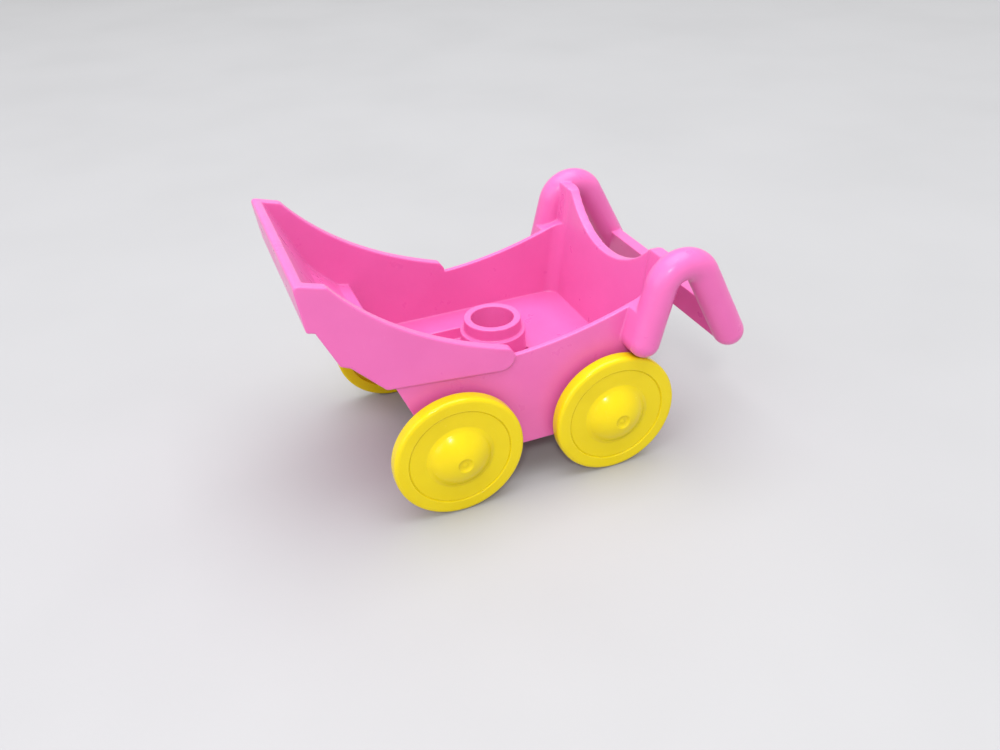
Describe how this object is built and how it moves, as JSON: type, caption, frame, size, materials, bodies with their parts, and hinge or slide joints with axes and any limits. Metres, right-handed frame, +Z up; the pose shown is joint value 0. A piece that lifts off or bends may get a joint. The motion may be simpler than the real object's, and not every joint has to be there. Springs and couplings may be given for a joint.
{
  "type": "doll stroller",
  "caption": "small open plastic doll stroller with a stepped hood, a hollow peg in the tub, looped handle tubes and rolling wheels on steel axles",
  "frame": {"origin": "middle of the footprint on the ground, under the middle of the object's length", "axes": "+Y to the handle end, -Y to the hood, +X to the left of someone who faces the way the hood points, +Z up"},
  "size_m": [0.0424, 0.0676, 0.0418],
  "materials": {
    "pink_plastic": "semi-gloss moulded",
    "yellow_plastic": "gloss moulded",
    "steel_pin": "plain drawn wire"
  },
  "bodies": {
    "carriage": {"carriage_body": "pink_plastic"},
    "front_wheelset": {"front_axle": "steel_pin", "front_left_wheel": "yellow_plastic", "front_right_wheel": "yellow_plastic"},
    "rear_wheelset": {"rear_axle": "steel_pin", "rear_left_wheel": "yellow_plastic", "rear_right_wheel": "yellow_plastic"}
  },
  "joints": [
    {"name": "front_wheels_roll", "type": "hinge", "parent": "carriage", "child": "front_wheelset", "pos_m": [0, -0.01408, 0.0102], "axis": [1, 0, 0], "continuous": true},
    {"name": "rear_wheels_roll", "type": "hinge", "parent": "carriage", "child": "rear_wheelset", "pos_m": [0, 0.01192, 0.0102], "axis": [1, 0, 0], "continuous": true}
  ]
}
